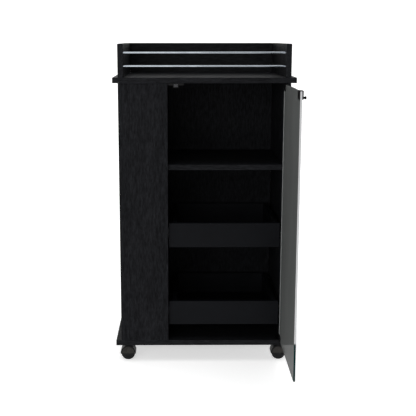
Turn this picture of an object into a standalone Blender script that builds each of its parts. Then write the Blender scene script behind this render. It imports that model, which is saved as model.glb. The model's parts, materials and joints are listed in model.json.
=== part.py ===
"""A black bar cart on casters, with a glass door, one shelf, two pull-out trays and open side shelves.

Run it with: blender --background --python part.py
Units are metres, +Z is up and the cart's front faces -Y. The origin is on the floor, in the middle of
the cart's box with the door standing open at a right angle. Every piece hangs from the empty "cart",
whose own origin is on the floor in the front plane of the boards, midway between their ends.
"""

import math

import bmesh
import bpy
from mathutils import Matrix, Vector

# Whole cart
WIDTH = 0.500
DEPTH = 0.365
BOARD = 0.015
SIDE_OVERHANG = 0.015
INSIDE_HEIGHT = 0.730
GALLERY_HEIGHT = 0.090
GAP = 0.0003
RUN_GAP = 0.00015
EDGE_ROUND = 0.0008

# Compartments
LEFT_PANEL_WIDTH = 0.1345
SHELF_SETBACK = 0.015
SHELF_HEIGHT = 0.4905
SIDE_SHELF_COUNT = 2
PIN_RADIUS = 0.0025
PIN_GRIP = 0.008
PIN_INSET = 0.045
PIN_CHAMFER = 0.0005

# Gallery rails
RAIL_RADIUS = 0.0026
RAIL_SETBACK = 0.010
RAIL_HEIGHTS = (0.030, 0.066)
RAIL_GRIP = 0.007
RAIL_CHAMFER = 0.0005

# Pull-out trays
TRAY_FRONT_HEIGHT = 0.069
TRAY_LEVELS = {"lower": 0.0430, "upper": 0.2705}
TRAY_SETBACK = 0.015
TRAY_BACK_GAP = 0.028
TRAY_SIDE = 0.012
TRAY_FLOOR = 0.006
TRAY_GAP_LEFT = 0.002
TRAY_GAP_RIGHT = 0.0065
RUNNER_SPACE = 0.0125
RUNNER_SHEET = 0.0012
RUNNER_HEIGHT = 0.026
RUNNER_DEPTH = 0.008
RUNNER_PLAY = 0.0028
RUNNER_INSET = 0.004
RUNNER_END_GAP = 0.0027

# Glass door on corner pivots
GLASS = 0.005
GLASS_ROUND = 0.0005
DOOR_SIDE_GAP = 0.002
DOOR_OPENING = math.radians(90)
PIVOT_INSET = 0.001
PIVOT_SETBACK = 0.0035
PIVOT_RADIUS = 0.002
PIVOT_LENGTH = 0.012
PIVOT_CHAMFER = 0.0004
PLATE_SHEET = 0.001
PLATE_WIDTH = 0.013
PLATE_LENGTH = 0.036
PLATE_EDGE = 0.001
PLATE_SCREWS = (0.017, 0.029)
CLAMP_LENGTH = 0.038
CLAMP_HEIGHT = 0.018
CLAMP_CHEEK = 0.0017
CLAMP_WEB = 0.001
CLAMP_RUN = 0.0004
CLAMP_SCREWS = (0.014, 0.029)
BUSH_WALL = 0.0009
BUSH_LENGTH = 0.013
REBATE_WIDTH = 0.0065
REBATE_DEPTH = 0.010

# Knob clip on the door's free corner
CLIP_LENGTH = 0.033
CLIP_HEIGHT = 0.021
CLIP_INSET = 0.001
CLIP_INNER = 0.0012
CLIP_OUTER = 0.0028
CLIP_WEB = 0.001
KNOB_DROP = 0.0175
KNOB_LENGTH = 0.0086
KNOB_NECK = 0.0022
KNOB_RADIUS = 0.0038
STUD_RADIUS = 0.0015

# Magnetic catch under the top board
CATCH_FROM_PANEL = 0.0225
CATCH_SPAN = 0.044
CATCH_EAR = 0.006
CATCH_BODY_WIDTH = 0.015
CATCH_BODY_HEIGHT = 0.013
CATCH_LENGTH = 0.018
CATCH_AIR = 0.001
MAGNET_SIZE = (0.0110, 0.0080, 0.0075)
MAGNET_PROUD = 0.0004

# Casters
CASTER_SIDE_INSET = 0.0325
CASTER_END_INSET = 0.035
WHEEL_RADIUS = 0.020
WHEEL_WIDTH = 0.010
WHEEL_ROUND = 0.001
WHEEL_DISH = 0.0013
WHEEL_DISH_RADIUS = 0.0125
WEB_WIDTH = 0.010
HUB_RADIUS = 0.0095
HOOD_WALL = 0.0014
HOOD_PLAY = 0.0006
HOOD_BELOW_AXLE = 0.002
BOSS_RADIUS = 0.0096
AXLE_RADIUS = 0.0025
HUB_CAP_RADIUS = 0.005
KINGPIN_RADIUS = 0.003
KINGPIN_LENGTH = 0.013
CASTER_PLATE = 0.038
CASTER_PLATE_SHEET = 0.002
CASTER_PLATE_CORNER = 0.004
CASTER_SCREW_SPACING = 0.029
CASTER_NECK = 0.005
SWIVEL_GAP = 0.0007

# Screw holes: each is the radius of a screw's shank with its play
CASTER_SCREW_HOLE = 0.0020
CATCH_SCREW_HOLE = 0.0016
PLATE_SCREW_HOLE = 0.0015
CLAMP_SCREW_HOLE = 0.0015

ROUND_STEPS = 24
SMALL_STEPS = 12

# Values that follow from the ones above
BODY_WIDTH = WIDTH - 2 * SIDE_OVERHANG
AXLE_HEIGHT = WHEEL_RADIUS
HOOD_RADIUS = WHEEL_RADIUS + HOOD_PLAY + HOOD_WALL
HOUSING_TOP = AXLE_HEIGHT + HOOD_RADIUS + CASTER_NECK
PLATE_LOW = HOUSING_TOP + SWIVEL_GAP
BASE_LOW = PLATE_LOW + CASTER_PLATE_SHEET + GAP
BASE_TOP = BASE_LOW + BOARD
TOP_LOW = BASE_TOP + INSIDE_HEIGHT
TOP_TOP = TOP_LOW + BOARD
GALLERY_TOP = TOP_TOP + GALLERY_HEIGHT
LEFT_EDGE = -BODY_WIDTH / 2
RIGHT_EDGE = BODY_WIDTH / 2
RIGHT_FACE = RIGHT_EDGE - BOARD
LEFT_FACE = LEFT_EDGE + LEFT_PANEL_WIDTH
DIVIDER_LEFT = LEFT_FACE - BOARD
BACK_FACE = DEPTH - BOARD
PANEL_LOW = BASE_TOP + GAP
PANEL_TOP = TOP_LOW - GAP
SHELF_TOP = BASE_TOP + SHELF_HEIGHT + BOARD
PIVOT_X = RIGHT_FACE - PIVOT_INSET
CLAMP_HALF = GLASS / 2 + GAP + CLAMP_CHEEK
BUSH_INNER = PIVOT_RADIUS + RUN_GAP
BUSH_OUTER = BUSH_INNER + BUSH_WALL
GLASS_START = BUSH_OUTER + GAP + CLAMP_CHEEK
DOOR_REACH = PIVOT_X - LEFT_FACE - DOOR_SIDE_GAP
CLAMP_FROM_BOARD = GAP + PLATE_SHEET + CLAMP_RUN
GLASS_FROM_BOARD = CLAMP_FROM_BOARD + CLAMP_WEB + GAP
GLASS_LOW = BASE_TOP + GLASS_FROM_BOARD
GLASS_TOP = TOP_LOW - GLASS_FROM_BOARD
SLOT_HALF = WEB_WIDTH / 2 + GAP + WHEEL_WIDTH + GAP
TRAY_LENGTH = BACK_FACE - TRAY_SETBACK - TRAY_BACK_GAP
RUNNER_LENGTH = TRAY_LENGTH - BOARD - GAP - RUNNER_INSET - RUNNER_END_GAP
FRONT_PLANE = (DOOR_REACH - PIVOT_SETBACK - DEPTH) / 2

UP = Vector((0, 0, 1))
DOWN = -UP
RIGHT = Vector((1, 0, 0))
BACK = Vector((0, 1, 0))


def clear_scene():
    for obj in list(bpy.data.objects):
        bpy.data.objects.remove(obj)


def material(name, colour, roughness, metallic=0.0, alpha=1.0):
    mat = bpy.data.materials.new(name)
    mat.use_nodes = True
    shader = mat.node_tree.nodes["Principled BSDF"]
    shader.inputs["Base Color"].default_value = (*colour, 1.0)
    shader.inputs["Roughness"].default_value = roughness
    shader.inputs["Metallic"].default_value = metallic
    shader.inputs["Alpha"].default_value = alpha
    mat.diffuse_color = (*colour, alpha)
    return mat


def empty(name, parent, location=(0, 0, 0), turn=0.0):
    """A frame to hang pieces on, turned about Z."""
    obj = bpy.data.objects.new(name, None)
    bpy.context.scene.collection.objects.link(obj)
    obj.parent = parent
    obj.location = location
    obj.rotation_euler = (0, 0, turn)
    return obj


def piece(name, bm, mat, parent, location=(0, 0, 0), smooth=False, round_edges=0.0):
    """Turns a bmesh into a named object, with softened edges where round_edges is set."""
    bmesh.ops.recalc_face_normals(bm, faces=bm.faces)
    mesh = bpy.data.meshes.new(name)
    bm.to_mesh(mesh)
    bm.free()
    if mat:
        mesh.materials.append(mat)
    if smooth:
        mesh.shade_smooth()
        mesh.set_sharp_from_angle(angle=math.radians(35))
    obj = bpy.data.objects.new(name, mesh)
    bpy.context.scene.collection.objects.link(obj)
    obj.parent = parent
    obj.location = location
    if round_edges:
        bevel = obj.modifiers.new("edges", "BEVEL")
        bevel.width = round_edges
        bevel.segments = 2
        bevel.limit_method = "ANGLE"
    return obj


def tool(name, bm, parent, location=(0, 0, 0)):
    """A hidden shape for a Boolean."""
    obj = piece(name, bm, None, parent, location)
    obj.hide_render = True
    obj.display_type = "WIRE"
    return obj


def combine(obj, other, operation):
    boolean = obj.modifiers.new(other.name, "BOOLEAN")
    boolean.operation = operation
    boolean.solver = "EXACT"
    boolean.object = other


def cut(obj, *cutters):
    for cutter in cutters:
        combine(obj, cutter, "DIFFERENCE")


def block(low, high):
    """A box between two corners, as a bmesh centred on the origin, and its centre."""
    low, high = Vector(low), Vector(high)
    bm = bmesh.new()
    bmesh.ops.create_cube(bm, size=1.0)
    bmesh.ops.scale(bm, vec=high - low, verts=bm.verts)
    return bm, (low + high) / 2


def board(name, low, high, mat, parent):
    bm, centre = block(low, high)
    return piece(name, bm, mat, parent, centre, round_edges=EDGE_ROUND)


def prism(outline, length, direction=UP):
    """A flat outline, as points in its own x and y, extruded along its z, which is aimed along direction."""
    bm = bmesh.new()
    face = bm.faces.new([bm.verts.new((x, y, 0)) for x, y in outline])
    moved = bmesh.ops.extrude_face_region(bm, geom=[face])["geom"]
    tops = [v for v in moved if isinstance(v, bmesh.types.BMVert)]
    bmesh.ops.translate(bm, vec=(0, 0, length), verts=tops)
    bmesh.ops.transform(bm, matrix=aim(direction), verts=bm.verts)
    return bm


def aim(direction):
    """The shortest turn that takes +Z to direction. Along +Y it keeps +X, and takes +Y to -Z."""
    return UP.rotation_difference(direction).to_matrix().to_4x4()


def arc(centre, radius, start, end, steps):
    """Points on an arc, from start to end in degrees."""
    points = []
    for i in range(steps + 1):
        angle = math.radians(start + (end - start) * i / steps)
        points.append((centre[0] + radius * math.cos(angle), centre[1] + radius * math.sin(angle)))
    return points


def turned(spots, profile, steps, ring=False):
    """Copies of one turned shape in one bmesh. A spot is a point and a direction; the profile's points are
    a radius and a distance along that direction, and a ring's profile closes on itself."""
    shape = bmesh.new()
    verts = [shape.verts.new((radius, 0, along)) for radius, along in profile]
    edges = [shape.edges.new(pair) for pair in zip(verts, verts[1:])]
    if ring:
        edges.append(shape.edges.new((verts[-1], verts[0])))
    bmesh.ops.spin(
        shape,
        geom=verts + edges,
        cent=(0, 0, 0),
        axis=(0, 0, 1),
        angle=2 * math.pi,
        steps=steps,
        use_merge=True,
    )
    bmesh.ops.remove_doubles(shape, verts=shape.verts, dist=1e-6)
    bmesh.ops.recalc_face_normals(shape, faces=shape.faces)
    mesh = bpy.data.meshes.new("turned")
    shape.to_mesh(mesh)
    shape.free()
    bm = bmesh.new()
    for point, direction in spots:
        known = len(bm.verts)
        bm.from_mesh(mesh)
        bm.verts.ensure_lookup_table()
        place = Matrix.Translation(point) @ aim(Vector(direction))
        bmesh.ops.transform(bm, matrix=place, verts=bm.verts[known:])
    bpy.data.meshes.remove(mesh)
    return bm


def rod(radius, length, grow=0.0, chamfer=0.0):
    """The profile of a plain rod that starts at its spot."""
    radius += grow
    end = length + grow
    if not chamfer:
        return [(0, -grow), (radius, -grow), (radius, end), (0, end)]
    return [
        (0, -grow),
        (radius - chamfer, -grow),
        (radius, chamfer - grow),
        (radius, end - chamfer),
        (radius - chamfer, end),
        (0, end),
    ]


def make_materials():
    return {
        "panel": material("black_wenge", (0.0150, 0.0150, 0.0165), 0.55),
        "tray": material("black_tray", (0.0090, 0.0095, 0.0115), 0.45),
        "chrome": material("chrome", (0.80, 0.80, 0.82), 0.12, 1.0),
        "glass": material("smoked_glass", (0.055, 0.065, 0.062), 0.04, 0.0, 0.6),
        "black_metal": material("black_metal", (0.006, 0.006, 0.006), 0.4, 0.3),
        "steel": material("steel", (0.05, 0.05, 0.053), 0.35, 1.0),
        "zinc": material("zinc_pins", (0.55, 0.54, 0.52), 0.4, 1.0),
        "plastic": material("black_plastic", (0.020, 0.020, 0.022), 0.45),
        "wheel": material("wheel_plastic", (0.012, 0.012, 0.013), 0.5),
        "nylon": material("nylon", (0.75, 0.74, 0.70), 0.5),
        "magnet": material("magnet", (0.10, 0.10, 0.11), 0.35, 0.8),
    }


def caster_spots():
    x = WIDTH / 2 - CASTER_SIDE_INSET
    near, far = CASTER_END_INSET, DEPTH - CASTER_END_INSET
    return {
        "front_left": (-x, near),
        "front_right": (x, near),
        "rear_left": (-x, far),
        "rear_right": (x, far),
    }


def side_shelf_levels():
    """The underside of each side shelf, evenly spaced between the base and the top."""
    clear = (INSIDE_HEIGHT - SIDE_SHELF_COUNT * BOARD) / (SIDE_SHELF_COUNT + 1)
    return [BASE_TOP + (n + 1) * clear + n * BOARD for n in range(SIDE_SHELF_COUNT)]


def shelf_pin_spots():
    """Half of each pin is in a panel, and half is under the cabinet's shelf."""
    near = SHELF_SETBACK + PIN_INSET
    far = BACK_FACE - PIN_INSET
    level = SHELF_TOP - BOARD - PIN_RADIUS - GAP
    return {
        "front_left": ((LEFT_FACE - PIN_GRIP, near, level), RIGHT),
        "rear_left": ((LEFT_FACE - PIN_GRIP, far, level), RIGHT),
        "front_right": ((RIGHT_FACE + PIN_GRIP, near, level), -RIGHT),
        "rear_right": ((RIGHT_FACE + PIN_GRIP, far, level), -RIGHT),
    }


def catch_x():
    return LEFT_FACE + CATCH_FROM_PANEL


def catch_front():
    """The front of the catch, a little behind the door's steel clip when the door is shut."""
    return PIVOT_SETBACK + GLASS / 2 + GAP + CLIP_INNER + CATCH_AIR


def make_carcass(cart, mats):
    """The boards of the cabinet."""
    mat = mats["panel"]
    board("top_board", (-WIDTH / 2, 0, TOP_LOW), (WIDTH / 2, DEPTH, TOP_TOP), mat, cart)
    board("base_board", (-WIDTH / 2, 0, BASE_LOW), (WIDTH / 2, DEPTH, BASE_TOP), mat, cart)
    board("left_front_panel", (LEFT_EDGE, 0, PANEL_LOW), (LEFT_FACE, BOARD, PANEL_TOP), mat, cart)
    board(
        "back_panel",
        (LEFT_EDGE, BACK_FACE, PANEL_LOW),
        (RIGHT_FACE - GAP, DEPTH, PANEL_TOP),
        mat,
        cart,
    )
    divider = board(
        "divider_panel",
        (DIVIDER_LEFT, BOARD + GAP, PANEL_LOW),
        (LEFT_FACE, BACK_FACE - GAP, PANEL_TOP),
        mat,
        cart,
    )
    spots = shelf_pin_spots().values()
    pin_holes = turned(spots, rod(PIN_RADIUS, 2 * PIN_GRIP, GAP), SMALL_STEPS)
    pin_tool = tool("shelf_pin_holes", pin_holes, cart)
    cut(divider, pin_tool)
    cut(make_right_panel(cart, mat), pin_tool)


def make_right_panel(cart, mat):
    """The right side, whose inner front edge is rebated to let the door's corner turn."""
    step = RIGHT_FACE + REBATE_WIDTH
    outline = [
        (RIGHT_FACE, REBATE_DEPTH),
        (step, REBATE_DEPTH),
        (step, 0),
        (RIGHT_EDGE, 0),
        (RIGHT_EDGE, DEPTH),
        (RIGHT_FACE, DEPTH),
    ]
    bm = prism(outline, PANEL_TOP - PANEL_LOW)
    return piece("right_side_panel", bm, mat, cart, (0, 0, PANEL_LOW), round_edges=EDGE_ROUND)


def make_shelves(cart, mats):
    mat = mats["panel"]
    inside = LEFT_FACE + GAP, RIGHT_FACE - GAP
    board(
        "cabinet_shelf",
        (inside[0], SHELF_SETBACK, SHELF_TOP - BOARD),
        (inside[1], BACK_FACE - GAP, SHELF_TOP),
        mat,
        cart,
    )
    for name, level in zip(("lower", "upper"), side_shelf_levels()):
        board(
            f"{name}_side_shelf",
            (LEFT_EDGE, BOARD + GAP, level),
            (DIVIDER_LEFT - GAP, BACK_FACE - GAP, level + BOARD),
            mat,
            cart,
        )
    pin = rod(PIN_RADIUS, 2 * PIN_GRIP, chamfer=PIN_CHAMFER)
    for name, (point, direction) in shelf_pin_spots().items():
        bm = turned([((0, 0, 0), direction)], pin, SMALL_STEPS)
        piece(f"{name}_shelf_pin", bm, mats["zinc"], cart, point, smooth=True)


def make_gallery(cart, mats):
    """The low wall round the top, open at the front but for two rails."""
    mat = mats["panel"]
    low = TOP_TOP + GAP
    start = -RIGHT_FACE - RAIL_GRIP
    points = [(start, RAIL_SETBACK, TOP_TOP + height) for height in RAIL_HEIGHTS]
    hole = rod(RAIL_RADIUS, -2 * start, GAP)
    rail_tool = tool("rail_holes", turned([(p, RIGHT) for p in points], hole, SMALL_STEPS), cart)
    for name, outer, inner in (("left", LEFT_EDGE, -RIGHT_FACE), ("right", RIGHT_FACE, RIGHT_EDGE)):
        side = board(f"gallery_{name}_panel", (outer, 0, low), (inner, DEPTH, GALLERY_TOP), mat, cart)
        cut(side, rail_tool)
    board(
        "gallery_back_panel",
        (-RIGHT_FACE + GAP, BACK_FACE, low),
        (RIGHT_FACE - GAP, DEPTH, GALLERY_TOP),
        mat,
        cart,
    )
    rail = rod(RAIL_RADIUS, -2 * start, chamfer=RAIL_CHAMFER)
    for name, point in zip(("lower", "upper"), points):
        bm = turned([((0, 0, 0), RIGHT)], rail, ROUND_STEPS)
        piece(f"gallery_{name}_rail", bm, mats["chrome"], cart, point, smooth=True)


def tray_range():
    """The left and right ends of a tray's body, between the runners."""
    return LEFT_FACE + RUNNER_SPACE, RIGHT_FACE - RUNNER_SPACE


def channel(web, lip, half, sheet):
    """A C section whose web starts at x = web, with lips that reach x = lip."""
    thick = sheet if lip > web else -sheet
    return [
        (web, -half),
        (lip, -half),
        (lip, sheet - half),
        (web + thick, sheet - half),
        (web + thick, half - sheet),
        (lip, half - sheet),
        (lip, half),
        (web, half),
    ]


def make_runner(name, face, inward, web, lip, half, mat, parent, start, level):
    """A channel along Y on the wall at x = face. Its web and lip are measured from that wall, inward."""
    outline = [(face + inward * x, z) for x, z in channel(web, lip, half, RUNNER_SHEET)]
    bm = prism(outline, RUNNER_LENGTH, BACK)
    return piece(name, bm, mat, parent, (0, start, level))


def runner_level():
    """The height of a runner's middle above its tray's lowest edge."""
    return TRAY_FLOOR + GAP + (TRAY_FRONT_HEIGHT - TRAY_FLOOR) / 2


def make_tray(name, level, cart, mats):
    """A shallow open box on side runners. It slides along -Y, from the empty at its front."""
    slide = empty(f"{name}_tray_slide", cart, (0, TRAY_SETBACK, BASE_TOP + level))
    left, right = tray_range()
    mat = mats["tray"]
    sides_low = TRAY_FLOOR + GAP
    start = BOARD + GAP
    board(
        f"{name}_tray_front",
        (LEFT_FACE + TRAY_GAP_LEFT, 0, 0),
        (RIGHT_FACE - TRAY_GAP_RIGHT, BOARD, TRAY_FRONT_HEIGHT),
        mat,
        slide,
    )
    for side, low, high in (
        ("left", left, left + TRAY_SIDE),
        ("right", right - TRAY_SIDE, right),
    ):
        board(
            f"{name}_tray_{side}_side",
            (low, start, sides_low),
            (high, TRAY_LENGTH, TRAY_FRONT_HEIGHT),
            mat,
            slide,
        )
    board(
        f"{name}_tray_back",
        (left + TRAY_SIDE + GAP, TRAY_LENGTH - TRAY_SIDE, sides_low),
        (right - TRAY_SIDE - GAP, TRAY_LENGTH, TRAY_FRONT_HEIGHT),
        mat,
        slide,
    )
    board(f"{name}_tray_floor", (left, start, 0), (right, TRAY_LENGTH, TRAY_FLOOR), mat, slide)
    make_runners(name, level, cart, slide, mats["steel"])


def make_runners(name, level, cart, slide, mat):
    """On each side, a channel on the cabinet's wall, and a smaller one on the tray that runs inside it."""
    half = RUNNER_HEIGHT / 2
    inner = half - RUNNER_SHEET - RUNNER_PLAY
    start = BOARD + GAP + RUNNER_INSET
    middle = runner_level()
    far = RUNNER_SPACE - GAP
    near = RUNNER_SPACE - RUNNER_DEPTH
    for side, face, inward in (("left", LEFT_FACE, 1), ("right", RIGHT_FACE, -1)):
        make_runner(
            f"{name}_cabinet_{side}_runner", face, inward, GAP, RUNNER_DEPTH, half,
            mat, cart, TRAY_SETBACK + start, BASE_TOP + level + middle,
        )
        make_runner(
            f"{name}_tray_{side}_runner", face, inward, far, near, inner, mat, slide, start, middle
        )


def make_trays(cart, mats):
    for name, level in TRAY_LEVELS.items():
        make_tray(name, level, cart, mats)


def make_pivots(cart, mats):
    """Plates on the top board and the base, with the riveted pins that the door turns on."""
    right = RIGHT_FACE - GAP
    tab = RIGHT_FACE + REBATE_WIDTH / 2
    outline = [
        (right - PLATE_WIDTH, PLATE_EDGE),
        (tab, PLATE_EDGE),
        (tab, REBATE_DEPTH - PLATE_EDGE),
        (right, REBATE_DEPTH - PLATE_EDGE),
        (right, PLATE_LENGTH),
        (right - PLATE_WIDTH, PLATE_LENGTH),
    ]
    screw_x = right - PLATE_WIDTH / 2
    ends = {
        "bottom": (BASE_TOP + GAP, BASE_TOP + GAP, UP),
        "top": (TOP_LOW - GAP - PLATE_SHEET, TOP_LOW - GAP, DOWN),
    }
    for name, (low, seat, direction) in ends.items():
        plate = piece(
            f"{name}_pivot_plate", prism(outline, PLATE_SHEET), mats["black_metal"], cart, (0, 0, low)
        )
        root = seat + direction.z * PLATE_SHEET / 2
        profile = rod(PIVOT_RADIUS, PIVOT_LENGTH - PLATE_SHEET / 2, chamfer=PIVOT_CHAMFER)
        pin = turned([((PIVOT_X, PIVOT_SETBACK, root), direction)], profile, ROUND_STEPS)
        combine(plate, tool(f"{name}_pivot_pin", pin, cart), "UNION")
        spots = [((screw_x, y, low - PLATE_SHEET), UP) for y in PLATE_SCREWS]
        holes = turned(spots, rod(PLATE_SCREW_HOLE, 3 * PLATE_SHEET), SMALL_STEPS)
        cut(plate, tool(f"{name}_plate_holes", holes, cart))


def make_door(cart, mats):
    """The door's pieces, in a frame on the pivot axis: x runs along the glass, y out of the cabinet."""
    heading = math.pi + DOOR_OPENING
    door = empty("door_axis", cart, (PIVOT_X, PIVOT_SETBACK, 0), heading)
    half = GLASS / 2
    bm, centre = block((GLASS_START, -half, GLASS_LOW), (DOOR_REACH, half, GLASS_TOP))
    piece("glass_door", bm, mats["glass"], door, centre, round_edges=GLASS_ROUND)
    make_clamps(door, mats)
    make_knob_clip(door, mats)


def make_clamps(door, mats):
    """The clamps that hold the glass at its two hinge corners, each with a bush for its pin."""
    outline = arc((0, 0), CLAMP_HALF, 90, 270, SMALL_STEPS)
    outline += [(CLAMP_LENGTH, -CLAMP_HALF), (CLAMP_LENGTH, CLAMP_HALF)]
    slot = GLASS / 2 + GAP
    bush = [
        (BUSH_INNER, 0),
        (BUSH_OUTER, 0),
        (BUSH_OUTER, BUSH_LENGTH),
        (BUSH_INNER, BUSH_LENGTH),
    ]
    ends = {"bottom": (BASE_TOP + CLAMP_FROM_BOARD, 1), "top": (TOP_LOW - CLAMP_FROM_BOARD, -1)}
    for name, (z, sign) in ends.items():
        low = min(z, z + sign * CLAMP_HEIGHT)
        body = prism(outline, CLAMP_HEIGHT)
        clamp = piece(f"{name}_glass_clamp", body, mats["black_metal"], door, (0, 0, low))
        seat = z + sign * CLAMP_WEB
        far = z + sign * 2 * CLAMP_HEIGHT
        bm, centre = block(
            (GLASS_START - GAP, -slot, min(seat, far)), (2 * CLAMP_LENGTH, slot, max(seat, far))
        )
        direction = sign * UP
        outside = ((0, 0, z - sign * GAP), direction)
        hole = turned([outside], rod(BUSH_OUTER, BUSH_LENGTH + 2 * GAP, GAP), ROUND_STEPS)
        middle = z + sign * CLAMP_HEIGHT / 2
        screw_spots = [((x, -2 * CLAMP_HALF, middle), BACK) for x in CLAMP_SCREWS]
        screws = turned(screw_spots, rod(CLAMP_SCREW_HOLE, 2 * CLAMP_HALF), SMALL_STEPS)
        cut(
            clamp,
            tool(f"{name}_glass_slot", bm, door, centre),
            tool(f"{name}_bush_hole", hole, door),
            tool(f"{name}_clamp_screw_holes", screws, door),
        )
        bm = turned([((0, 0, 0), direction)], bush, ROUND_STEPS, ring=True)
        piece(f"{name}_clamp_bush", bm, mats["nylon"], door, (0, 0, z + sign * GAP), smooth=True)


def make_knob_clip(door, mats):
    """A steel clip over the glass's free top corner, which the magnet holds, and its knob."""
    inner = -GLASS / 2 - GAP
    outer = GLASS / 2 + GAP
    low = GLASS_TOP + GAP + CLIP_WEB - CLIP_HEIGHT
    seat = GLASS_TOP + GAP
    top = seat + CLIP_WEB
    outline = [
        (inner - CLIP_INNER, low),
        (inner, low),
        (inner, seat),
        (outer, seat),
        (outer, low),
        (outer + CLIP_OUTER, low),
        (outer + CLIP_OUTER, top),
        (inner - CLIP_INNER, top),
    ]
    start = DOOR_REACH - CLIP_INSET - CLIP_LENGTH
    bm = prism(outline, CLIP_LENGTH)
    turn = Matrix(((0, 0, 1, start), (1, 0, 0, 0), (0, 1, 0, 0), (0, 0, 0, 1)))
    bmesh.ops.transform(bm, matrix=turn, verts=bm.verts)
    clip = piece("knob_clip", bm, mats["black_metal"], door)
    spot = Vector((start + CLIP_LENGTH / 2, outer, top - KNOB_DROP))
    neck = CLIP_OUTER + GAP
    end = neck + KNOB_LENGTH
    profile = [
        (0, 0),
        (STUD_RADIUS, 0),
        (STUD_RADIUS, neck),
        (KNOB_NECK, neck),
        (KNOB_NECK, neck + 0.2 * KNOB_LENGTH),
        (KNOB_RADIUS, end - 0.25 * KNOB_LENGTH),
        (KNOB_RADIUS, end - 0.1 * KNOB_LENGTH),
        (0.8 * KNOB_RADIUS, end),
        (0, end),
    ]
    hole_spot = (spot - outer * BACK, BACK)
    hole = turned([hole_spot], rod(STUD_RADIUS, outer + 2 * CLIP_OUTER, GAP), SMALL_STEPS)
    cut(clip, tool("stud_hole", hole, door))
    bm = turned([((0, 0, 0), BACK)], profile, ROUND_STEPS)
    piece("door_knob", bm, mats["black_metal"], door, spot, smooth=True)


def make_catch(cart, mats):
    half = CATCH_SPAN / 2
    body = CATCH_BODY_WIDTH / 2
    top = TOP_LOW - GAP
    outline = [
        (-half, 0),
        (half, 0),
        (half, CATCH_EAR),
        (body, CATCH_EAR),
        (body, CATCH_BODY_HEIGHT),
        (-body, CATCH_BODY_HEIGHT),
        (-body, CATCH_EAR),
        (-half, CATCH_EAR),
    ]
    place = (catch_x(), catch_front(), top)
    housing = piece(
        "catch_housing",
        prism(outline, CATCH_LENGTH, BACK),
        mats["plastic"],
        cart,
        place,
        round_edges=EDGE_ROUND / 2,
    )
    width, length, height = MAGNET_SIZE
    middle = top - CATCH_BODY_HEIGHT / 2
    low = Vector((catch_x() - width / 2, catch_front() - MAGNET_PROUD, middle - height / 2))
    high = low + Vector((width, length, height))
    grow = Vector((GAP, GAP, GAP))
    bm, centre = block(low - grow, high + grow)
    reach = (CATCH_SPAN + CATCH_BODY_WIDTH) / 4
    y = catch_front() + CATCH_LENGTH / 2
    spots = [((catch_x() + side * reach, y, top - 2 * CATCH_EAR), UP) for side in (-1, 1)]
    holes = turned(spots, rod(CATCH_SCREW_HOLE, 3 * CATCH_EAR), SMALL_STEPS)
    screw_tool = tool("catch_screw_holes", holes, cart)
    cut(housing, tool("magnet_pocket", bm, cart, centre), screw_tool)
    bm, centre = block(low, high)
    piece("catch_magnet", bm, mats["magnet"], cart, centre)


def caster_plate(name, swivel, mats):
    """A square plate with rounded corners, and the kingpin that hangs from it."""
    corner = CASTER_PLATE / 2 - CASTER_PLATE_CORNER
    outline = []
    for x, y, start in ((1, 1, 0), (-1, 1, 90), (-1, -1, 180), (1, -1, 270)):
        outline += arc((x * corner, y * corner), CASTER_PLATE_CORNER, start, start + 90, 4)
    plate = piece(
        f"{name}_caster_plate",
        prism(outline, CASTER_PLATE_SHEET),
        mats["black_metal"],
        swivel,
        (0, 0, PLATE_LOW),
    )
    root = PLATE_LOW + CASTER_PLATE_SHEET / 2
    length = KINGPIN_LENGTH + CASTER_PLATE_SHEET / 2
    kingpin = turned([((0, 0, root), DOWN)], rod(KINGPIN_RADIUS, length), ROUND_STEPS)
    combine(plate, tool(f"{name}_kingpin", kingpin, swivel), "UNION")
    half = CASTER_SCREW_SPACING / 2
    low = PLATE_LOW - CASTER_PLATE_SHEET
    spots = [((i * half, j * half, low), UP) for i in (-1, 1) for j in (-1, 1)]
    holes = turned(spots, rod(CASTER_SCREW_HOLE, 3 * CASTER_PLATE_SHEET), SMALL_STEPS)
    cut(plate, tool(f"{name}_plate_holes", holes, swivel))


def caster_housing(name, swivel, mats):
    """The swivelling hood: a half drum over both wheels, a web between them, and a boss round the kingpin."""
    flat = HOOD_BELOW_AXLE
    tilt = math.degrees(math.asin(flat / HOOD_RADIUS))
    drum = arc((0, 0), HOOD_RADIUS, -180 - tilt, tilt, ROUND_STEPS)
    width = 2 * (SLOT_HALF + HOOD_WALL)
    place = (0, -width / 2, AXLE_HEIGHT)
    housing = piece(
        f"{name}_caster_housing",
        prism(drum, width, BACK),
        mats["plastic"],
        swivel,
        place,
        smooth=True,
    )
    hub = turned([((0, -WEB_WIDTH, AXLE_HEIGHT), BACK)], rod(HUB_RADIUS, 2 * WEB_WIDTH), ROUND_STEPS)
    boss_low = AXLE_HEIGHT + WHEEL_RADIUS - HOOD_WALL
    boss = turned([((0, 0, boss_low), UP)], rod(BOSS_RADIUS, HOUSING_TOP - boss_low), ROUND_STEPS)
    slot_spots = [((0, side * WEB_WIDTH / 2, AXLE_HEIGHT), side * BACK) for side in (-1, 1)]
    slot = rod(WHEEL_RADIUS + HOOD_PLAY, SLOT_HALF - WEB_WIDTH / 2)
    slots = turned(slot_spots, slot, 2 * ROUND_STEPS)
    pin_hole = turned([((0, 0, PLATE_LOW), DOWN)], rod(KINGPIN_RADIUS, KINGPIN_LENGTH, GAP), ROUND_STEPS)
    bore_spot = ((0, -WEB_WIDTH, AXLE_HEIGHT), BACK)
    bore = turned([bore_spot], rod(AXLE_RADIUS, 2 * WEB_WIDTH, GAP), ROUND_STEPS)
    for part, bm in (("boss", boss), ("hub", hub)):
        combine(housing, tool(f"{name}_{part}", bm, swivel), "UNION")
    for part, bm in (("wheel_slots", slots), ("kingpin_hole", pin_hole), ("axle_bore", bore)):
        cut(housing, tool(f"{name}_{part}", bm, swivel))


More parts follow.
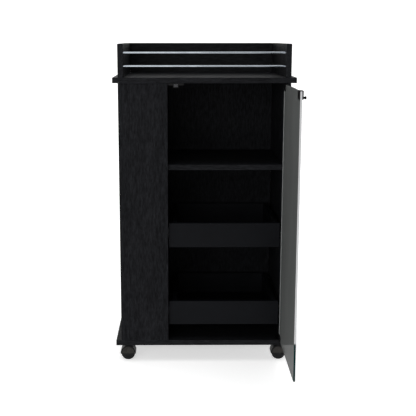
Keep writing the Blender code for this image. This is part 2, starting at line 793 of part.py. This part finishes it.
def caster_wheels(name, axle, mats):
    """Twin wheels on the axle that they are pressed on, which turns in the web of the housing."""
    near = WEB_WIDTH / 2 + GAP
    far = near + WHEEL_WIDTH
    face = [
        (AXLE_RADIUS, near),
        (WHEEL_RADIUS - WHEEL_ROUND, near),
        (WHEEL_RADIUS, near + WHEEL_ROUND),
        (WHEEL_RADIUS, far - WHEEL_ROUND),
        (WHEEL_RADIUS - WHEEL_ROUND, far),
        (WHEEL_DISH_RADIUS, far),
        (WHEEL_DISH_RADIUS - WHEEL_DISH, far - WHEEL_DISH),
        (HUB_CAP_RADIUS, far - WHEEL_DISH),
        (HUB_CAP_RADIUS, far),
        (0, far),
    ]
    profile = [(r, -y) for r, y in reversed(face)] + face
    bm = turned([((0, 0, 0), BACK)], profile, ROUND_STEPS)
    piece(f"{name}_caster_wheels", bm, mats["wheel"], axle, smooth=True)


def make_casters(cart, mats):
    for name, (x, y) in caster_spots().items():
        swivel = empty(f"{name}_swivel", cart, (x, y, 0))
        caster_plate(name, swivel, mats)
        caster_housing(name, swivel, mats)
        caster_wheels(name, empty(f"{name}_axle_line", swivel, (0, 0, AXLE_HEIGHT)), mats)


def main():
    clear_scene()
    mats = make_materials()
    cart = empty("cart", None, (0, FRONT_PLANE, 0))
    make_carcass(cart, mats)
    make_shelves(cart, mats)
    make_gallery(cart, mats)
    make_trays(cart, mats)
    make_pivots(cart, mats)
    make_door(cart, mats)
    make_catch(cart, mats)
    make_casters(cart, mats)


main()
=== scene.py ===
"""The looks of the black bar cart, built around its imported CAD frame.

Metres, in the frame's own coordinates: +Z is up, the cart's front faces -Y and its door hangs on the
right. Every CAD node keeps its shape and gets a procedural material here. Small hardware that the CAD
leaves out, such as screws and shelf pins, is built here and rides on the frame's bodies.
"""

import json
import math

import bmesh
import bpy
from mathutils import Matrix, Vector


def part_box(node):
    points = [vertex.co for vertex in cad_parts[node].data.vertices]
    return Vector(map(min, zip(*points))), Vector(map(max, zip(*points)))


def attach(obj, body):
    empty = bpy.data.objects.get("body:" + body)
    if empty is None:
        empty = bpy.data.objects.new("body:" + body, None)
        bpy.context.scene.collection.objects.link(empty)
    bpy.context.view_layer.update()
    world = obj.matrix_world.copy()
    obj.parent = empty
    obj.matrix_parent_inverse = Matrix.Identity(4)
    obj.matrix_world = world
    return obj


CAMERA_PLACE = (-0.0648, -2.3731, 0.9147)
CAMERA_PITCH = math.radians(11.165)
CAMERA_YAW = math.radians(0.428)
CAMERA_LENS = 74.51
CAMERA_SHIFT = 0.0503

X = Vector((1, 0, 0))
Y = Vector((0, 1, 0))
Z = Vector((0, 0, 1))
CASTERS = ("front_left", "front_right", "rear_left", "rear_right")
SIDE_SHELVES = ("lower", "upper")
HINGE_ENDS = ("bottom", "top")
UPRIGHT = ("left_front_panel", "divider_panel", "back_panel", "right_side_panel")
ACROSS = ("top_board", "base_board", "cabinet_shelf", "gallery_back_panel")

# Small hardware: the facets round a screw or pin, and the angle past which an edge stays sharp
ROUND_STEPS = 24
SHARP = math.radians(35)
TWIST = math.radians(37)

# How far from its plate's centre each caster screw stands, and its seat below the plate's top
CASTER_SCREW_REACH = 0.0145
CASTER_SCREW_SEAT = 0.0022
CATCH_SCREW_REACH = 0.01475
CATCH_SCREW_SEAT = 0.0062
PIVOT_SCREW_SIDE = 0.0065
PIVOT_SCREW_REACHES = (0.016, 0.028)
PIVOT_SCREW_SEAT = 0.0012
CLAMP_SCREW_SINK = 0.0001
CLAMP_SCREW_REACHES = (0.014, 0.029)

# Pins under the side shelves
PIN_DROP = 0.0041
PIN_FROM_END = 0.045
PIN_FROM_SIDE = 0.022

# Clear strip round the glass's hinge edge
STRIP_WALL = 0.0008
STRIP_LIP = 0.0075
STRIP_ROUND = 0.0005
STRIP_GAP = 0.0001
STRIP_FROM_CLAMP = 0.0006

# Ribbed shield on a caster's hood: rings of a radius and how far they stand out, then the ribs
SHIELD_RINGS = ((0.0185, -0.0001), (0.0182, 0.0006), (0.0168, 0.0007), (0.0164, 0.0003))
SHIELD_CUT = 0.0008
RIBS_EACH_WAY = 4
RIB_SPACING = 0.0034
RIB_WIDTH = 0.0012
RIB_RADIUS = 0.0155
RIB_TRIM = 0.0006
RIB_FOOT = 0.0012
RIB_OUT = (0.0002, 0.0008)

# Teal foot of the glass's ground edge: where it starts to pale, and where it is fully pale
TEAL_TOP = (0.097, 0.102)

# Studio: a floor that curves up into a backdrop, lit from above and from the left and front
FLOOR_HALF_WIDTH = 9.0
FLOOR_FRONT = -9.0
FLOOR_BACK = 3.5
COVE_RADIUS = 2.0
COVE_STEPS = 12
BACKDROP_HEIGHT = 7.0
FLOOR_GLOW = 0.55
WORLD_GLOW = 0.32
FRONT_TARGET = (0.0, 0.0, 0.45)
FRONT_SIZE = (2.4, 2.2)


# Node graphs


class Graph:
    """A material's nodes. A number, colour or socket can be given for any input."""

    def __init__(self, name):
        self.material = bpy.data.materials.new(name)
        self.material.use_nodes = True
        self.tree = self.material.node_tree
        self.shader = self.tree.nodes["Principled BSDF"]

    def add(self, kind, inputs, **settings):
        node = self.tree.nodes.new("ShaderNode" + kind)
        for key, value in settings.items():
            setattr(node, key, value)
        for key, value in inputs.items():
            self.feed(node.inputs[key], value)
        return node

    def feed(self, socket, value):
        if isinstance(value, bpy.types.NodeSocket):
            self.tree.links.new(value, socket)
        else:
            socket.default_value = value

    def place(self):
        """The point on the piece, in its own coordinates."""
        return self.add("TexCoord", {}).outputs["Object"]

    def stretched(self, vector, scale):
        return self.add("Mapping", {"Vector": vector, "Scale": scale}).outputs["Vector"]

    def noise(self, vector, scale, detail=3.0, roughness=0.55):
        inputs = {"Vector": vector, "Scale": scale, "Detail": detail, "Roughness": roughness}
        return self.add("TexNoise", inputs).outputs["Fac"]

    def math(self, operation, a, b=0.0):
        return self.add("Math", {0: a, 1: b}, operation=operation).outputs[0]

    def span(self, value, low, high, out_low, out_high):
        """Maps low..high to out_low..out_high, and holds it there outside that range."""
        inputs = {
            "Value": value,
            "From Min": low,
            "From Max": high,
            "To Min": out_low,
            "To Max": out_high,
        }
        return self.add("MapRange", inputs).outputs["Result"]

    def mix(self, factor, a, b, blend="MIX"):
        node = self.add("Mix", {}, data_type="RGBA", blend_type=blend)
        for socket, value in zip((node.inputs[0], node.inputs[6], node.inputs[7]), (factor, a, b)):
            self.feed(socket, value)
        return node.outputs[2]

    def bump(self, height, strength, distance):
        inputs = {"Height": height, "Strength": strength, "Distance": distance}
        return self.add("Bump", inputs).outputs["Normal"]

    def spread(self, value):
        """A vector that holds one value three times."""
        return self.add("CombineXYZ", {"X": value, "Y": value, "Z": value}).outputs[0]

    def tinted(self, base, tone):
        """A colour multiplied by a tone."""
        return self.mix(1.0, base, self.spread(tone), "MULTIPLY")

    def edges(self, radius):
        """1 along sharp edges and 0 on flat faces."""
        rounded = self.add("Bevel", {"Radius": radius}, samples=4).outputs["Normal"]
        plain = self.add("NewGeometry", {}).outputs["Normal"]
        same = self.add("VectorMath", {0: rounded, 1: plain}, operation="DOT_PRODUCT").outputs["Value"]
        return self.span(same, 0.995, 0.80, 0.0, 1.0)

    def finish(self, **inputs):
        for key, value in inputs.items():
            self.feed(self.shader.inputs[key.replace("_", " ")], value)
        return self.material


def rgb(r, g, b):
    return (r, g, b, 1.0)


def scaled(colour, factor):
    return rgb(*(factor * c for c in colour[:3]))


# Materials


def wenge(name, grain, base, contrast=1.0):
    """Black stained laminate with an open, streaky grain along one axis: 0 for X, 1 for Y, 2 for Z. Its
    edges are painted lighter, partly as wear and partly as a painted highlight.
    """
    g = Graph(name)
    place = g.place()

    def along(across, length):
        scale = [across] * 3
        scale[grain] = length
        return g.stretched(place, scale)

    sway = g.noise(g.stretched(place, (9.0, 9.0, 9.0)), 1.0, 2.0)
    swayed = g.add("VectorMath", {0: along(230.0, 44.0), 1: g.spread(sway)}, operation="ADD").outputs[0]
    streaks = g.noise(swayed, 1.0, 4.0, 0.62)
    pores = g.noise(along(900.0, 90.0), 1.0, 2.0, 0.5)
    slow = g.noise(along(30.0, 5.0), 1.0, 2.0)
    light = g.span(streaks, 0.34, 0.68, 1.0 - 0.55 * contrast, 1.0 + 0.75 * contrast)
    pitted = g.span(pores, 0.36, 0.50, 0.55, 1.0)
    tone = g.math("MULTIPLY", light, pitted)
    tone = g.math("MULTIPLY", tone, g.span(slow, 0.3, 0.7, 0.88, 1.12))
    # Edges painted lighter: partly wear, partly a painted highlight where the edges catch the light
    edge = g.edges(0.0013)
    edge_wear_and_highlight = g.math("MULTIPLY", edge, g.span(g.noise(place, 160.0), 0.35, 0.65, 0.25, 0.8))
    tone = g.math("ADD", tone, edge_wear_and_highlight)
    colour = g.tinted(base, tone)
    height = g.math("ADD", g.math("MULTIPLY", streaks, 0.6), g.math("MULTIPLY", pitted, 0.5))
    rough = g.span(streaks, 0.3, 0.7, 0.56, 0.42)
    rough = g.math("ADD", rough, g.span(g.noise(place, 14.0), 0.4, 0.8, 0.0, 0.07))
    return g.finish(
        Base_Color=colour,
        Roughness=rough,
        Specular_IOR_Level=0.03,
        Normal=g.bump(height, 0.42, 0.00035),
    )


def lacquer(name, base):
    """Smooth black board with a faint orange peel and a few soft smudges, and edges painted lighter, partly
    as wear and partly as a painted highlight.
    """
    g = Graph(name)
    place = g.place()
    cloud = g.noise(place, 18.0, 3.0)
    speck = g.noise(place, 1400.0, 2.0)
    tone = g.span(cloud, 0.3, 0.7, 0.86, 1.16)
    # Edges painted lighter: partly wear, partly a painted highlight where the edges catch the light
    edge_wear_and_highlight = g.math("MULTIPLY", g.edges(0.001), g.span(g.noise(place, 210.0), 0.35, 0.65, 0.2, 1.3))
    tone = g.math("ADD", g.math("MULTIPLY", tone, g.span(speck, 0.3, 0.7, 0.9, 1.1)), edge_wear_and_highlight)
    colour = g.tinted(base, tone)
    return g.finish(
        Base_Color=colour,
        Roughness=g.span(cloud, 0.3, 0.7, 0.38, 0.50),
        Specular_IOR_Level=0.05,
        Normal=g.bump(g.noise(place, 650.0, 2.0), 0.12, 0.0002),
    )


def chrome():
    g = Graph("polished_chrome")
    place = g.place()
    lines = g.noise(g.stretched(place, (900.0, 30.0, 30.0)), 1.0, 2.0)
    haze = g.noise(place, 35.0, 3.0)
    colour = g.mix(g.span(haze, 0.35, 0.7, 0.0, 1.0), rgb(0.31, 0.34, 0.37), rgb(0.245, 0.27, 0.30))
    return g.finish(
        Base_Color=colour,
        Metallic=1.0,
        Roughness=g.span(haze, 0.3, 0.7, 0.07, 0.17),
        Normal=g.bump(lines, 0.05, 0.0001),
    )


def metal(name, light, dark, rough, bump_scale, metallic=1.0):
    """Plated or painted sheet with a mottled tone and fine pitting, and edges painted lighter, partly as
    wear and partly as a painted highlight.
    """
    g = Graph(name)
    place = g.place()
    cells = g.add("TexVoronoi", {"Vector": place, "Scale": 420.0}).outputs["Distance"]
    cloud = g.noise(place, 60.0, 4.0)
    patch = g.math("ADD", g.math("MULTIPLY", cells, 0.35), g.math("MULTIPLY", cloud, 0.75))
    colour = g.mix(g.span(patch, 0.3, 0.75, 0.0, 1.0), dark, light)
    # Edges painted lighter: partly wear, partly a painted highlight where the edges catch the light
    edge_wear_and_highlight = g.math("MULTIPLY", g.edges(0.0006), g.span(g.noise(place, 320.0), 0.45, 0.6, 0.0, 0.8))
    colour = g.mix(edge_wear_and_highlight, colour, light if metallic else scaled(light, 2.2))
    return g.finish(
        Base_Color=colour,
        Metallic=metallic,
        Roughness=g.span(patch, 0.3, 0.75, rough - 0.07, rough + 0.09),
        Specular_IOR_Level=0.5 if metallic else 0.04,
        Normal=g.bump(g.noise(place, bump_scale, 2.0), 0.18, 0.00015),
    )


def moulded(name, light, dark, rough, grit=1500.0):
    """Moulded plastic with a spark-eroded texture, and edges painted lighter in a scuffed pattern, partly
    as wear and partly as a painted highlight.
    """
    g = Graph(name)
    place = g.place()
    cloud = g.noise(place, 75.0, 4.0)
    scuff = g.noise(g.stretched(place, (380.0, 380.0, 90.0)), 1.0, 3.0)
    colour = g.mix(g.span(cloud, 0.3, 0.7, 0.0, 1.0), dark, light)
    # Edges painted lighter in a scuffed pattern: partly wear, partly a painted highlight where the edges
    # catch the light
    edge_wear_and_highlight = g.math("MULTIPLY", g.edges(0.0008), g.span(scuff, 0.42, 0.62, 0.15, 0.9))
    colour = g.mix(edge_wear_and_highlight, colour, scaled(light, 1.9))
    return g.finish(
        Base_Color=colour,
        Roughness=g.span(scuff, 0.3, 0.7, rough - 0.08, rough + 0.1),
        Specular_IOR_Level=0.08,
        Normal=g.bump(g.noise(place, grit, 2.0), 0.2, 0.00015),
    )


def smoked_glass():
    """Dark tinted glass, whose ground edges show pale over most of their height and teal near the foot."""
    g = Graph("smoked_glass")
    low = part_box("glass_door")[0]
    place = g.place()
    parts = g.add("SeparateXYZ", {"Vector": place}).outputs
    normal = g.add("SeparateXYZ", {"Vector": g.add("TexCoord", {}).outputs["Normal"]}).outputs
    facing = g.math("ABSOLUTE", normal["Y"])
    ground = g.span(facing, 0.35, 0.8, 0.0, 1.0)
    haze = g.noise(place, 5.0, 3.0)
    smear = g.noise(g.stretched(place, (40.0, 9.0, 3.0)), 1.0, 3.0)
    tint = g.mix(g.span(smear, 0.3, 0.7, 0.0, 1.0), rgb(0.092, 0.096, 0.094), rgb(0.110, 0.114, 0.112))
    teal = g.span(parts["Z"], low.z + TEAL_TOP[0], low.z + TEAL_TOP[1], 0.0, 1.0)
    edge_colour = g.mix(teal, rgb(0.001, 0.018, 0.018), rgb(0.50, 0.50, 0.51))
    colour = g.mix(ground, tint, edge_colour)
    return g.finish(
        Base_Color=colour,
        Roughness=g.span(smear, 0.35, 0.75, 0.05, 0.14),
        Specular_IOR_Level=0.002,
        Alpha=0.985,
        Normal=g.bump(haze, 0.02, 0.0005),
    )


def make_materials():
    """The material of each slot, with one for each way that the grain of a panel runs. The boards whose
    grain runs along X or Y get a lighter copy of the same laminate, which is painted light that makes them
    look better lit.
    """
    board = rgb(0.0086, 0.0090, 0.0103)
    # A lighter copy of the upright boards' colour, painted light for the boards along X and Y
    board_painted_lighter = rgb(0.0102, 0.0106, 0.0120)
    paint = (rgb(0.0034, 0.0034, 0.0038), rgb(0.0016, 0.0016, 0.0018))
    ferrite = (rgb(0.030, 0.030, 0.033), rgb(0.014, 0.014, 0.016))
    moulding = (rgb(0.0085, 0.0085, 0.0088), rgb(0.0050, 0.0050, 0.0052))
    return {
        "panel_x": wenge("black_wenge_across", 0, board_painted_lighter, 0.65),
        "panel_y": wenge("black_wenge_deep", 1, board_painted_lighter, 0.65),
        "panel_z": wenge("black_wenge_upright", 2, board, 0.8),
        "tray": lacquer("black_lacquered_board", rgb(0.0044, 0.0048, 0.0060)),
        "chrome": chrome(),
        "glass": smoked_glass(),
        "black_metal": metal("black_painted_steel", *paint, 0.42, 900.0, 0.0),
        "steel": metal("black_zinc_plate", rgb(0.060, 0.061, 0.064), rgb(0.034, 0.035, 0.037), 0.34, 700.0),
        "zinc": metal("zinc_plate", rgb(0.62, 0.60, 0.55), rgb(0.42, 0.41, 0.38), 0.32, 800.0),
        "plastic": moulded("black_moulding", *moulding, 0.42),
        "shield": moulded("hood_shield", rgb(0.036, 0.034, 0.032), rgb(0.020, 0.019, 0.018), 0.5, 900.0),
        "strip": moulded("clear_strip", rgb(0.26, 0.27, 0.27), rgb(0.20, 0.21, 0.21), 0.4),
        "wheel": moulded("wheel_moulding", rgb(0.017, 0.017, 0.018), rgb(0.009, 0.009, 0.010), 0.5),
        "nylon": moulded("natural_nylon", rgb(0.74, 0.72, 0.67), rgb(0.62, 0.60, 0.54), 0.45),
        "magnet": metal("ferrite_magnet", *ferrite, 0.4, 1100.0, 0.5),
    }


def dress_frame(frame, mats):
    """Gives every CAD node the material of its slot, with the grain along each board's length."""
    slots = {entry["node"]: entry["material_slot"] for entry in frame["record"]["subparts"]}
    for name, obj in frame["nodes"].items():
        key = slots[name]
        if key == "panel":
            key = "panel_z" if name in UPRIGHT else "panel_x" if name in ACROSS else "panel_y"
        for slot in obj.material_slots:
            slot.material = mats[key]


# Pieces


def lathe(profile, steps):
    """A turned shape about +Z, from points of a radius and a height."""
    bm = bmesh.new()
    verts = [bm.verts.new((radius, 0, height)) for radius, height in profile]
    edges = [bm.edges.new(pair) for pair in zip(verts, verts[1:])]
    bmesh.ops.spin(
        bm,
        geom=verts + edges,
        cent=(0, 0, 0),
        axis=(0, 0, 1),
        angle=2 * math.pi,
        steps=steps,
        use_merge=True,
    )
    bmesh.ops.remove_doubles(bm, verts=bm.verts, dist=1e-6)
    bmesh.ops.recalc_face_normals(bm, faces=bm.faces)
    return bm


def to_mesh(name, bm):
    mesh = bpy.data.meshes.new(name)
    bm.to_mesh(mesh)
    bm.free()
    return mesh


def extruded(outline, low, high):
    """A flat outline in X and Y, extruded in Z."""
    bm = bmesh.new()
    face = bm.faces.new([bm.verts.new((x, y, low)) for x, y in outline])
    moved = bmesh.ops.extrude_face_region(bm, geom=[face])["geom"]
    tops = [v for v in moved if isinstance(v, bmesh.types.BMVert)]
    bmesh.ops.translate(bm, vec=(0, 0, high - low), verts=tops)
    bmesh.ops.recalc_face_normals(bm, faces=bm.faces)
    return bm


def star(points, outer, inner, low, high):
    """A prism with a star or polygon outline, for driver recesses."""
    outline = []
    count = 2 * points
    for i in range(count):
        radius = outer if i % 2 == 0 else inner
        angle = 2 * math.pi * i / count
        outline.append((radius * math.cos(angle), radius * math.sin(angle)))
    return extruded(outline, low, high)


def carved(name, body, cutter):
    """The mesh of one shape with another cut out of it."""
    scene = bpy.context.scene.collection
    whole = bpy.data.objects.new(name, to_mesh(name, body))
    tool = bpy.data.objects.new(name + "_cutter", to_mesh(name + "_cutter", cutter))
    scene.objects.link(whole)
    scene.objects.link(tool)
    boolean = whole.modifiers.new("recess", "BOOLEAN")
    boolean.operation = "DIFFERENCE"
    boolean.solver = "EXACT"
    boolean.object = tool
    bpy.context.view_layer.update()
    result = bpy.data.meshes.new_from_object(whole.evaluated_get(bpy.context.evaluated_depsgraph_get()))
    for obj in (whole, tool):
        bpy.data.objects.remove(obj)
    return result


def pan_head(radius, height, shank, length):
    """A domed screw with a cross recess. Its seat is at 0 and its head points along +Z."""
    profile = [
        (0, -length),
        (shank, -length),
        (shank, 0),
        (radius, 0),
        (radius, 0.30 * height),
        (0.93 * radius, 0.62 * height),
        (0.74 * radius, 0.88 * height),
        (0.40 * radius, height),
        (0, height),
    ]
    recess = star(4, 0.58 * radius, 0.17 * radius, 0.35 * height, 2 * height)
    return carved("pan_head_screw", lathe(profile, ROUND_STEPS), recess)


def set_screw(radius, length):
    """A headless screw with a hexagon socket, whose flat end is at 0 and points along +Z."""
    chamfer = 0.2 * radius
    profile = [
        (0, -length),
        (radius - chamfer, -length),
        (radius, chamfer - length),
        (radius, -chamfer),
        (radius - chamfer, 0),
        (0, 0),
    ]
    socket = star(3, 0.55 * radius, 0.55 * radius, -0.6 * length, length)
    return carved("set_screw", lathe(profile, ROUND_STEPS), socket)


def shelf_pin():
    """A round pin with a collar that rests against the board. It points along +Z from the board at 0."""
    profile = [
        (0, -0.0002),
        (0.0038, -0.0002),
        (0.0038, 0.0008),
        (0.0034, 0.0011),
        (0.0025, 0.0012),
        (0.0025, 0.0074),
        (0.0019, 0.0080),
        (0, 0.0080),
    ]
    return to_mesh("shelf_pin", lathe(profile, ROUND_STEPS))


def show(name, bm, mat, body):
    """Makes a piece of a shape, with its material, and rides it on a CAD body."""
    obj = bpy.data.objects.new(name, to_mesh(name, bm))
    bpy.context.scene.collection.objects.link(obj)
    obj.data.materials.append(mat)
    obj.data.shade_smooth()
    obj.data.set_sharp_from_angle(angle=SHARP)
    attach(obj, body)


def gather(name, mesh, spots, mat, body):
    """One piece made of copies of a small mesh, each at a point and turned to a direction."""
    bm = bmesh.new()
    for number, (point, direction) in enumerate(spots):
        known = len(bm.verts)
        bm.from_mesh(mesh)
        bm.verts.ensure_lookup_table()
        turn = Z.rotation_difference(direction).to_matrix().to_4x4()
        twist = Matrix.Rotation(TWIST * number, 4, "Z")
        bmesh.ops.transform(bm, matrix=Matrix.Translation(point) @ turn @ twist, verts=bm.verts[known:])
    show(name, bm, mat, body)


def middle(box):
    return (box[0] + box[1]) / 2


def make_caster_screws(mats):
    screw = pan_head(0.0032, 0.0017, 0.0015, 0.0016)
    for caster in CASTERS:
        low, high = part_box(f"{caster}_caster_plate")
        centre = middle((low, high))
        seat = high.z - CASTER_SCREW_SEAT
        spots = []
        for x in (centre.x - CASTER_SCREW_REACH, centre.x + CASTER_SCREW_REACH):
            for y in (centre.y - CASTER_SCREW_REACH, centre.y + CASTER_SCREW_REACH):
                spots.append((Vector((x, y, seat)), -Z))
        gather(f"{caster}_caster_screws", screw, spots, mats["zinc"], "cabinet")


def make_catch_screws(mats):
    low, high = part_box("catch_housing")
    centre = middle((low, high))
    seat = high.z - CATCH_SCREW_SEAT
    screw = pan_head(0.0027, 0.0014, 0.0012, 0.004)
    places = (centre.x - CATCH_SCREW_REACH, centre.x + CATCH_SCREW_REACH)
    spots = [(Vector((x, centre.y, seat)), -Z) for x in places]
    gather("catch_screws", screw, spots, mats["black_metal"], "cabinet")


def make_pivot_screws(mats):
    screw = pan_head(0.0024, 0.0010, 0.0011, 0.0008)
    for end in HINGE_ENDS:
        low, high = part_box(f"{end}_pivot_plate")
        up = end == "bottom"
        seat = low.z + PIVOT_SCREW_SEAT if up else high.z - PIVOT_SCREW_SEAT
        direction = Z if up else -Z
        x = low.x + PIVOT_SCREW_SIDE
        spots = [(Vector((x, low.y + reach, seat)), direction) for reach in PIVOT_SCREW_REACHES]
        gather(f"{end}_pivot_screws", screw, spots, mats["black_metal"], "cabinet")


def make_clamp_screws(mats):
    screw = set_screw(0.0012, 0.0016)
    for end in HINGE_ENDS:
        low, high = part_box(f"{end}_glass_clamp")
        centre = middle((low, high))
        pivot = high.y - (high.x - low.x) / 2
        x = low.x + CLAMP_SCREW_SINK
        spots = [(Vector((x, pivot - reach, centre.z)), -X) for reach in CLAMP_SCREW_REACHES]
        gather(f"{end}_clamp_screws", screw, spots, mats["zinc"], "door")


def make_side_shelf_pins(mats):
    """Each side shelf rests on two pins in the divider and one in the board at each end."""
    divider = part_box("divider_panel")[0]
    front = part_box("left_front_panel")
    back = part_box("back_panel")[0]
    for shelf in SIDE_SHELVES:
        low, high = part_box(f"{shelf}_side_shelf")
        board_painted_lighter = low.z - PIN_DROP
        x = front[0].x + PIN_FROM_SIDE
        ends = (low.y + PIN_FROM_END, high.y - PIN_FROM_END)
        spots = [(Vector((divider.x, y, board_painted_lighter)), -X) for y in ends]
        spots.append((Vector((x, front[1].y, board_painted_lighter)), Y))
        spots.append((Vector((x, back.y, board_painted_lighter)), -Y))
        gather(f"{shelf}_side_shelf_pins", shelf_pin(), spots, mats["zinc"], "cabinet")


def make_hinge_trim(mats):
    """A slim clear strip along the glass's hinge edge, between the two clamps."""
    low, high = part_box("glass_door")
    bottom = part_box("bottom_glass_clamp")[1].z + STRIP_FROM_CLAMP
    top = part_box("top_glass_clamp")[0].z - STRIP_FROM_CLAMP
    wall = STRIP_WALL
    left, right = low.x - STRIP_GAP, high.x + STRIP_GAP
    back = high.y + STRIP_GAP
    mouth = back - STRIP_LIP
    outline = [
        (left - wall, mouth),
        (left - 0.3 * wall, mouth - STRIP_ROUND),
        (left, mouth),
        (left, back),
        (right, back),
        (right, mouth),
        (right + 0.3 * wall, mouth - STRIP_ROUND),
        (right + wall, mouth),
        (right + wall, back + 0.5 * wall),
        (right + 0.5 * wall, back + wall),
        (left - 0.5 * wall, back + wall),
        (left - wall, back + 0.5 * wall),
    ]
    show("hinge_edge_trim", extruded(outline, bottom, top), mats["strip"], "door")


def half_disc(radius, sink, steps=32):
    """The outline of a disc cut off a little below its middle, as points in X and Z."""
    tilt = math.asin(sink / radius)
    span = math.pi + 2 * tilt
    return [
        (radius * math.cos(span * i / steps - tilt), radius * math.sin(span * i / steps - tilt))
        for i in range(steps + 1)
    ]


def add_shield(bm, axle, face, side):
    """A shallow raised half disc on one cheek of a hood, whose face is at a Y."""
    rings = []
    for radius, out in SHIELD_RINGS:
        points = half_disc(radius, SHIELD_CUT)
        rings.append([bm.verts.new((axle.x + x, face + side * out, axle.z + z)) for x, z in points])
    for a, b in zip(rings, rings[1:]):
        count = len(a)
        for i in range(count):
            j = (i + 1) % count
            bm.faces.new((a[i], a[j], b[j], b[i]))
    bm.faces.new(rings[0])
    bm.faces.new(rings[-1])


def add_rib(bm, axle, face, side, x):
    """An upright rib on a shield, at a distance from its middle."""
    reach = math.sqrt(max(RIB_RADIUS**2 - x * x, 0.0)) - RIB_TRIM
    inner, outer = RIB_OUT
    foot = Vector((axle.x + x - RIB_WIDTH / 2, face + side * inner, axle.z + RIB_FOOT))
    head = Vector((axle.x + x + RIB_WIDTH / 2, face + side * outer, axle.z + reach))
    made = bmesh.ops.create_cube(bm, size=1.0)["verts"]
    bmesh.ops.scale(bm, vec=[abs(b - a) for a, b in zip(foot, head)], verts=made)
    bmesh.ops.translate(bm, vec=middle((foot, head)), verts=made)


def make_hood_shields(mats):
    """A raised, ribbed shield on each cheek of a caster's hood."""
    for caster in CASTERS:
        low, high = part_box(f"{caster}_caster_housing")
        axle = middle(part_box(f"{caster}_caster_wheels"))
        bm = bmesh.new()
        for face, side in ((low.y, -1), (high.y, 1)):
            add_shield(bm, axle, face, side)
            for number in range(-RIBS_EACH_WAY, RIBS_EACH_WAY + 1):
                add_rib(bm, axle, face, side, RIB_SPACING * number)
        bmesh.ops.recalc_face_normals(bm, faces=bm.faces)
        show(f"{caster}_hood_shields", bm, mats["shield"], f"{caster}_caster")


# Stage


def make_floor():
    """A pale floor that curves up into a backdrop far behind the cart."""
    bm = bmesh.new()
    profile = [(FLOOR_FRONT, 0.0), (FLOOR_BACK, 0.0)]
    for i in range(1, COVE_STEPS + 1):
        angle = math.radians(90 * i / COVE_STEPS)
        profile.append((FLOOR_BACK + COVE_RADIUS * math.sin(angle), COVE_RADIUS * (1 - math.cos(angle))))
    profile.append((FLOOR_BACK + COVE_RADIUS, BACKDROP_HEIGHT))
    sides = (-FLOOR_HALF_WIDTH, FLOOR_HALF_WIDTH)
    rows = [[bm.verts.new((x, y, z)) for x in sides] for y, z in profile]
    for a, b in zip(rows, rows[1:]):
        bm.faces.new((a[0], a[1], b[1], b[0]))
    mesh = to_mesh("studio_floor", bm)
    floor = bpy.data.objects.new("studio_floor", mesh)
    bpy.context.scene.collection.objects.link(floor)
    mesh.shade_smooth()
    g = Graph("studio_paper")
    cloud = g.noise(g.place(), 1.2, 2.0)
    colour = g.mix(g.span(cloud, 0.3, 0.7, 0.0, 1.0), rgb(0.93, 0.93, 0.93), rgb(0.96, 0.96, 0.96))
    paper = g.finish(
        Base_Color=colour,
        Roughness=0.85,
        Specular_IOR_Level=0.1,
        Emission_Color=rgb(1.0, 1.0, 1.0),
        Emission_Strength=FLOOR_GLOW,
    )
    mesh.materials.append(paper)


def make_light(name, place, target, size, power):
    data = bpy.data.lights.new(name, "AREA")
    data.shape = "RECTANGLE"
    data.size, data.size_y = size
    data.energy = power
    light = bpy.data.objects.new(name, data)
    bpy.context.scene.collection.objects.link(light)
    light.location = place
    light.rotation_euler = (Vector(target) - Vector(place)).to_track_quat("-Z", "Y").to_euler()


def make_stage():
    make_floor()
    make_light("overhead", (0.0, -0.2, 6.0), (0.0, -0.2, 0.0), (5.0, 5.0), 145.0)
    make_light("left", (-2.9, -4.4, 1.5), FRONT_TARGET, FRONT_SIZE, 32.0)
    make_light("front", (-1.1, -4.9, 1.5), FRONT_TARGET, FRONT_SIZE, 52.0)
    world = bpy.data.worlds.new("studio")
    world.use_nodes = True
    background = world.node_tree.nodes["Background"]
    background.inputs["Color"].default_value = (1.0, 1.0, 1.0, 1.0)
    background.inputs["Strength"].default_value = WORLD_GLOW
    bpy.context.scene.world = world
    bpy.context.scene.view_settings.view_transform = "Standard"


def make_camera():
    data = bpy.data.cameras.new("camera")
    data.lens = CAMERA_LENS
    data.sensor_width = 36.0
    data.shift_x = CAMERA_SHIFT
    camera = bpy.data.objects.new("camera", data)
    bpy.context.scene.collection.objects.link(camera)
    camera.location = CAMERA_PLACE
    camera.rotation_euler = (math.radians(90) - CAMERA_PITCH, 0, -CAMERA_YAW)
    bpy.context.scene.camera = camera


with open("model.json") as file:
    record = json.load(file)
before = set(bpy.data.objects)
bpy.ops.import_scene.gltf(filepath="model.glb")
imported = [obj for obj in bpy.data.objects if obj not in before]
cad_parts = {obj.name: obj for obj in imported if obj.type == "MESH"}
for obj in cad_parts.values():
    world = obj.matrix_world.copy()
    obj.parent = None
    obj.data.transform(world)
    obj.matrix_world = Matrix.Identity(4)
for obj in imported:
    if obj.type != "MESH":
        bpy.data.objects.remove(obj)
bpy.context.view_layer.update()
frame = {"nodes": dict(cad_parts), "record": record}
mats = make_materials()
dress_frame(frame, mats)
make_caster_screws(mats)
make_catch_screws(mats)
make_pivot_screws(mats)
make_clamp_screws(mats)
make_side_shelf_pins(mats)
make_hinge_trim(mats)
make_hood_shields(mats)
make_stage()
make_camera()
